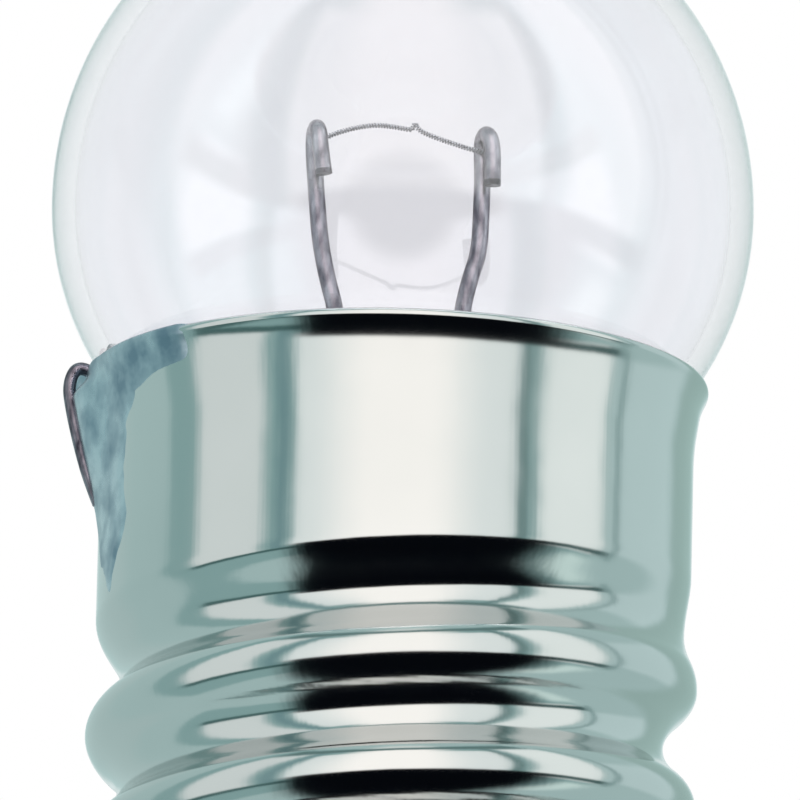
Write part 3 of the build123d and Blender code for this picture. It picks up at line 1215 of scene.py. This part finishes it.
@dataclass
class BottomContact(SubAssembly):
    """Black glass insulator with the brass eyelet and its solder dome."""

    shell: ScrewShell = field(default_factory=ScrewShell)
    insulator_top: float = 4.6
    insulator_chamfer: float = 0.1
    foot_margin: float = 0.32
    skirt_overlap: float = 0.25
    skirt_corner: float = 0.1
    skirt_land: float = 0.12
    bulge: float = 0.14
    bulge_steps: int = 16
    bore: float = 0.55
    nose_seat: float = 0.12
    nose_lip: float = 0.09
    nose_recess: float = 0.08
    plate: float = 2.05
    plate_bottom: float = 0.65
    plate_thick: float = 0.3
    plate_corner: float = 0.14
    plate_edge: float = 0.04
    plate_bore: float = 0.35
    bore_chamfer: float = 0.05
    barrel: float = 0.9
    gap: float = 0.02
    dome: float = 1.5
    dome_height: float = 0.65
    dome_edge: float = 0.04
    settle: float = 0.05

    @property
    def plate_top(self) -> float:
        """Height of the contact plate's upper face."""
        return self.plate_bottom + self.plate_thick

    def insulator(self) -> bpy.types.Object:
        """Presses the black glass plug.

        Returns:
            The plug with its rounded skirt.
        """
        shell = self.shell
        top = self.insulator_top
        chamfer = self.insulator_chamfer
        plug = shell.crest - shell.depth - shell.wall - self.gap
        floor = shell.bottom + shell.wall + self.gap
        slope = shell.foot_inset / shell.taper_height
        foot = shell.foot - shell.wall - self.foot_margin
        throat = shell.hole - self.gap
        skirt = shell.hole + self.skirt_overlap
        under = shell.bottom - self.gap
        nose = self.plate + self.nose_seat
        side_out = nose + self.nose_lip
        side_low = self.plate_top - self.nose_lip
        side_high = under - self.skirt_land
        seat = self.plate + self.gap
        section = [(self.bore, top), (self.bore, self.plate_top), (seat, self.plate_top)]
        section += [(seat, self.plate_top - self.nose_recess)]
        section += arc((nose + 0.02, self.plate_top - 0.03), self.nose_lip, -150, -40, 6)
        for step in range(1, self.bulge_steps + 1):
            share = step / self.bulge_steps
            out = side_out + (skirt - side_out) * share + self.bulge * math.sin(math.pi * share)
            section.append((out, side_low + (side_high - side_low) * share))
        corner = self.skirt_corner
        section += arc((skirt - corner, under - corner), corner, 0, 90, 6)
        section += [(throat, under), (throat, floor), (foot, floor), (plug, floor + (plug - foot) / slope)]
        section += [(plug, top - chamfer), (plug - chamfer, top), (self.bore, top)]
        return turned("black_glass_insulator", section, 128)

    def eyelet(self) -> bpy.types.Object:
        """Stamps the contact plate with its barrel.

        Returns:
            The eyelet.
        """
        top = self.plate_top
        low = self.plate_bottom
        barrel = self.bore - self.gap
        corner = self.plate_corner
        edge = self.plate_edge
        start = (self.plate_bore, low + edge)
        section = [start, (self.plate_bore + self.bore_chamfer, low)]
        section += arc((self.plate - corner, low + corner), corner, -90, 0, 8)
        section += arc((self.plate - edge, top - edge), edge, 0, 90, 4)
        section += [(barrel + self.bore_chamfer, top), (barrel, top + self.bore_chamfer)]
        section += [(barrel, top + self.barrel), (self.plate_bore, top + self.barrel), start]
        return turned("contact_eyelet_brass", section, 128)

    def dome_of_solder(self) -> bpy.types.Object:
        """Sets the solder dome of the centre contact.

        Returns:
            The dome, a little uneven, with the plug that fills the eyelet.
        """
        sphere = (self.dome**2 + self.dome_height**2) / (2 * self.dome_height)
        sweep = math.degrees(math.asin((self.dome - self.dome_edge) / sphere))
        plug = self.plate_bore - self.gap
        low = self.plate_bottom
        section = arc((0, sphere), sphere, -90, sweep - 90, 24)
        section += [(self.dome, low - 0.03), (self.dome - 0.02, low)]
        section += [(plug, low), (plug, self.plate_top), (0, self.plate_top)]
        piece = turned("contact_solder_dome", section, 128)

        def settled(place: Vector) -> Vector:
            """Makes a point of the dome's free face a little uneven, but not its tip.

            Args:
                place: the point on the true dome.

            Returns:
                Its place on the set solder.
            """
            free = ease(low - 0.05, 0.2, place.z) * ease(0.0, 0.08, place.z)
            waves = noise.noise(place * 1.4) + 0.4 * noise.noise(place * 4)
            return place + Vector((0, 0, self.settle * free * waves))

        reshape(piece, settled)
        return piece

    def build(self) -> None:
        """Presses the insulator, stamps the eyelet and sets the solder."""
        self.dress(self.insulator(), "insulator", BLACK_GLASS, crease=35.0)
        self.dress(self.eyelet(), "contact_eyelet", BRASS, crease=35.0)
        self.dress(self.dome_of_solder(), "contact_solder", SOLDER, crease=60.0)


# Studio


@dataclass(frozen=True)
class Card:
    """Soft-edged card of the studio that bright metal and glass mirror, by its bearing in degrees."""

    azimuth: float
    elevation: float
    width: float
    height: float
    edge: float
    colour: str


@dataclass(frozen=True)
class Side:
    """Soft-edged half of all directions: those that run along the normal by more than the limit."""

    normal: Place
    limit: float
    soft: float


@dataclass
class Studio:
    """Camera, soft light, pale floor and the cards round the bulb."""

    aim: Place = (0.025, 0.0, 13.23)
    elevation: float = -14.0
    distance: float = 280.0
    roll: float = 1.335
    scale: float = 65.0
    image: float = 800.0
    sensor: float = 36.0
    floor_depth: float = 95.0
    floor_colour: str = "#F4F4F2"
    floor_rough: float = 0.9
    floor_glow: float = 0.45
    daylight: str = "#CDCED0"
    backdrop: Side = Side((0.0, 1.0, 0.0), 0.15, 0.25)
    # Level of the mirrored cards, and how much brighter they are inside the glass
    gain: float = 1.55
    glint: float = 1.9
    room: str = "#9EB5B4"
    cards: Sequence[Card] = (
        Card(-146, 0, 34, 176, 14, "#A2B6B5"),
        Card(150, 0, 30, 176, 14, "#90A8A4"),
        Card(-177, 0, 14, 176, 7, "#BDC8C8"),
        Card(177, 0, 14, 176, 7, "#BDC8C8"),
        Card(113, 14, 42, 46, 9, "#B1C5C5"),
        Card(-5, 12, 188, 120, 5, "#809E9D"),
        Card(3.8, 19.5, 86.6, 71, 5, "#DDE2E1"),
        Card(1, 26, 46, 92, 26, "#FFFAF6"),
        Card(-68, 20, 30.5, 82, 7, "#CCD2D1"),
        Card(72.5, 20, 31, 82, 6, "#E2E7E5"),
        Card(50, 20, 4.5, 84, 3, "#587473"),
        Card(-45, 20, 5, 84, 3.5, "#68878A"),
        Card(95.5, 20, 3.5, 84, 2.5, "#7F9897"),
        Card(84, -42, 14, 30, 10, "#C5D8D4"),
        Card(68, -15, 50, 8, 5, "#35504F"),
        Card(-62, -24, 48, 7, 4, "#3F5C5B"),
        Card(0, 66, 170, 8, 4, "#5A7473"),
    )
    # Dark round opening in front, which shows only inside the glass
    opening: str = "#080C0D"
    opening_elevation: float = -16.0
    opening_width: float = 38.0
    opening_soft: float = 0.03
    # Dark table below, by the sides that bound it
    table: str = "#05070B"
    table_sides: Sequence[Side] = (
        Side((0.0, 0.0, -1.0), 0.19, 0.05),
        Side((0.05, -0.965, -0.26), 0.0, 0.05),
        Side((0.8, -0.58, -0.15), 0.0, 0.1),
        Side((-0.44, -0.875, -0.2), 0.0, 0.15),
    )

    def camera(self) -> None:
        """Sets the camera below the bulb's rim, rolled a little as the photograph is."""
        tilt = math.radians(self.elevation)
        back = Vector((0, -math.cos(tilt), math.sin(tilt)))
        data = bpy.data.cameras.new("camera")
        data.sensor_width = self.sensor
        data.lens = self.scale * self.distance * self.sensor / self.image
        data.clip_start = 0.01
        data.clip_end = 20.0
        camera = bpy.data.objects.new("camera", data)
        camera.location = (Vector(self.aim) + back * self.distance) * MM
        camera.rotation_euler = back.to_track_quat("Z", "Y").to_euler()
        camera.rotation_euler.rotate_axis("Z", math.radians(self.roll))
        bpy.context.scene.collection.objects.link(camera)
        bpy.context.scene.camera = camera

    def window(
        self,
        tree: bpy.types.NodeTree,
        bearing: bpy.types.NodeSocket,
        middle: float,
        size: float,
        edge: float,
    ) -> bpy.types.NodeSocket:
        """Cuts a soft window on one bearing of the ray.

        Args:
            tree: the world's node tree.
            bearing: the ray's bearing in radians.
            middle: the window's middle in degrees.
            size: its width in degrees.
            edge: width of its soft edge in degrees.

        Returns:
            A socket that is one in the window and zero outside it.
        """
        apart = add_node(
            tree, "ShaderNodeMath", {"operation": "SUBTRACT"}, {1: math.radians(middle)}, {0: bearing}
        )
        apart = add_node(tree, "ShaderNodeMath", {"operation": "ABSOLUTE"}, links={0: apart.outputs[0]})
        fall = add_node(
            tree,
            "ShaderNodeMapRange",
            {"interpolation_type": "SMOOTHSTEP"},
            {"From Min": math.radians((size + edge) / 2), "From Max": math.radians((size - edge) / 2)},
            {"Value": apart.outputs[0]},
        )
        return fall.outputs["Result"]

    def within(
        self, tree: bpy.types.NodeTree, direction: bpy.types.NodeSocket, side: Side
    ) -> bpy.types.NodeSocket:
        """Tells on which side of a soft edge the ray runs.

        Args:
            tree: the world's node tree.
            direction: the ray's direction.
            side: the half of all directions.

        Returns:
            A socket that is one on that side and zero on the other.
        """
        along = add_node(
            tree, "ShaderNodeVectorMath", {"operation": "DOT_PRODUCT"}, {1: side.normal}, {0: direction}
        )
        rise = add_node(
            tree,
            "ShaderNodeMapRange",
            {"interpolation_type": "SMOOTHSTEP"},
            {"From Min": side.limit - side.soft, "From Max": side.limit + side.soft},
            {"Value": along.outputs["Value"]},
        )
        return rise.outputs["Result"]

    def masks(
        self, tree: bpy.types.NodeTree, direction: bpy.types.NodeSocket, in_glass: bpy.types.NodeSocket
    ) -> list[tuple[bpy.types.NodeSocket, str]]:
        """Masks the cards, the opening and the table.

        Args:
            tree: the world's node tree.
            direction: the ray's direction.
            in_glass: one for rays that come through the glass.

        Returns:
            Each mask with its colour, the uppermost last.
        """
        axes = add_node(tree, "ShaderNodeSeparateXYZ", links={"Vector": direction})
        front = add_node(
            tree, "ShaderNodeMath", {"operation": "MULTIPLY"}, {1: -1.0}, {0: axes.outputs["Y"]}
        )
        azimuth = add_node(
            tree,
            "ShaderNodeMath",
            {"operation": "ARCTAN2"},
            links={0: axes.outputs["X"], 1: front.outputs[0]},
        )
        elevation = add_node(
            tree, "ShaderNodeMath", {"operation": "ARCSINE"}, links={0: axes.outputs["Z"]}
        )
        found: list[tuple[bpy.types.NodeSocket, str]] = []
        for card in self.cards:
            across = self.window(tree, azimuth.outputs[0], card.azimuth, card.width, card.edge)
            upright = self.window(tree, elevation.outputs[0], card.elevation, card.height, card.edge)
            inside = add_node(
                tree, "ShaderNodeMath", {"operation": "MULTIPLY"}, links={0: across, 1: upright}
            )
            found.append((inside.outputs[0], card.colour))
        tilt = math.radians(self.opening_elevation)
        ahead = (0.0, -math.cos(tilt), math.sin(tilt))
        reach = math.cos(math.radians(self.opening_width / 2))
        opening = add_node(
            tree,
            "ShaderNodeMath",
            {"operation": "MULTIPLY"},
            links={0: self.within(tree, direction, Side(ahead, reach, self.opening_soft)), 1: in_glass},
        )
        found.append((opening.outputs[0], self.opening))
        on_table = self.within(tree, direction, self.table_sides[0])
        for side in self.table_sides[1:]:
            product = add_node(
                tree,
                "ShaderNodeMath",
                {"operation": "MULTIPLY"},
                links={0: on_table, 1: self.within(tree, direction, side)},
            )
            on_table = product.outputs[0]
        found.append((on_table, self.table))
        return found

    def mirrored(
        self, tree: bpy.types.NodeTree, direction: bpy.types.NodeSocket, in_glass: bpy.types.NodeSocket
    ) -> bpy.types.NodeSocket:
        """Lays the cards over the room, as bright metal and glass mirror them.

        Args:
            tree: the world's node tree.
            direction: the ray's direction.
            in_glass: one for rays that come through the glass.

        Returns:
            The mirrored colour.
        """
        colour = None
        for mask, tone in self.masks(tree, direction, in_glass):
            mix = add_node(
                tree,
                "ShaderNodeMix",
                {"data_type": "RGBA"},
                {MIX_SECOND: linear(tone, self.gain)},
                {0: mask},
            )
            if colour is None:
                mix.inputs[MIX_FIRST].default_value = linear(self.room, self.gain)
            else:
                tree.links.new(colour, mix.inputs[MIX_FIRST])
            colour = mix.outputs[MIX_RESULT]
        lift = add_node(
            tree,
            "ShaderNodeMath",
            {"operation": "MULTIPLY_ADD"},
            {1: self.glint - 1.0, 2: 1.0},
            {0: in_glass},
        )
        lifted = add_node(
            tree,
            "ShaderNodeVectorMath",
            {"operation": "SCALE"},
            links={0: colour, "Scale": lift.outputs[0]},
        )
        return lifted.outputs["Vector"]

    def world(self) -> None:
        """Lays the cards in the world for mirrored rays, and a white ground for the rest."""
        world = bpy.data.worlds.new("studio")
        world.use_nodes = True
        bpy.context.scene.world = world
        tree = world.node_tree
        direction = add_node(tree, "ShaderNodeTexCoord").outputs["Generated"]
        path = add_node(tree, "ShaderNodeLightPath")
        in_glass = path.outputs["Is Transmission Ray"]
        room = add_node(
            tree,
            "ShaderNodeMix",
            {"data_type": "RGBA"},
            {MIX_FIRST: linear(self.daylight)},
            {0: path.outputs["Is Glossy Ray"], MIX_SECOND: self.mirrored(tree, direction, in_glass)},
        )
        behind = add_node(
            tree,
            "ShaderNodeMath",
            {"operation": "MULTIPLY"},
            links={0: in_glass, 1: self.within(tree, direction, self.backdrop)},
        )
        through = add_node(
            tree,
            "ShaderNodeMath",
            {"operation": "MAXIMUM"},
            links={0: path.outputs["Is Camera Ray"], 1: behind.outputs[0]},
        )
        seen = add_node(
            tree,
            "ShaderNodeMix",
            {"data_type": "RGBA"},
            {MIX_SECOND: (1.0, 1.0, 1.0, 1.0)},
            {0: through.outputs[0], MIX_FIRST: room.outputs[MIX_RESULT]},
        )
        tree.links.new(seen.outputs[MIX_RESULT], tree.nodes["Background"].inputs["Color"])

    def floor(self) -> None:
        """Lays a pale floor well below the bulb; it takes the bulb's shadow."""
        deselect_all()
        bpy.ops.mesh.primitive_plane_add(size=4.0, location=(0, 0, -self.floor_depth * MM))
        floor = bpy.context.object
        floor.name = "studio_floor"
        made = bpy.data.materials.new("painted_floor_pale")
        made.use_nodes = True
        tree = made.node_tree
        shader = tree.nodes["Principled BSDF"]
        shader.inputs["Base Color"].default_value = linear(self.floor_colour)
        shader.inputs["Roughness"].default_value = self.floor_rough
        shader.inputs["Emission Color"].default_value = (1, 1, 1, 1)
        path = add_node(tree, "ShaderNodeLightPath")
        glow = add_node(
            tree,
            "ShaderNodeMath",
            {"operation": "MULTIPLY"},
            {1: self.floor_glow},
            {0: path.outputs["Is Camera Ray"]},
        )
        tree.links.new(glow.outputs[0], shader.inputs["Emission Strength"])
        floor.data.materials.append(made)
        floor.visible_glossy = False
        floor.visible_transmission = False

    def lamp(self, name: str, place: Place, size: float, power: float) -> None:
        """Hangs a square soft lamp that points at the bulb.

        Args:
            name: the lamp's name.
            place: its place in millimetres.
            size: its side in millimetres.
            power: its power in watts.
        """
        data = bpy.data.lights.new(name, "AREA")
        data.size = size * MM
        data.energy = power
        lamp = bpy.data.objects.new(name, data)
        lamp.location = Vector(place) * MM
        lamp.rotation_euler = (Vector(place) - Vector(self.aim)).to_track_quat("Z", "Y").to_euler()
        lamp.visible_glossy = False
        lamp.visible_transmission = False
        bpy.context.scene.collection.objects.link(lamp)

    def build(self) -> None:
        """Sets camera, world, floor and lamps."""
        self.camera()
        self.world()
        self.floor()
        self.lamp("key", (-160, -200, 260), 180, 0.9)
        self.lamp("fill", (240, -160, 120), 160, 0.4)
        bpy.context.scene.view_settings.view_transform = "Standard"


def main() -> None:
    """Builds the bulb's pieces and the studio round them."""
    logging.basicConfig(level=logging.INFO, format="%(name)s: %(message)s")
    shell = ScrewShell()
    assemblies = (shell, GlassEnvelope(), WireMount(), RimJoint(shell=shell), BottomContact(shell=shell))
    for assembly in assemblies:
        assembly.build()
        for name in assembly.made:
            faces = len(bpy.data.objects[name].data.polygons)
            LOG.info("%s: %d faces", name, faces)
    Studio().build()


if __name__ == "__main__":
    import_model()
    main()
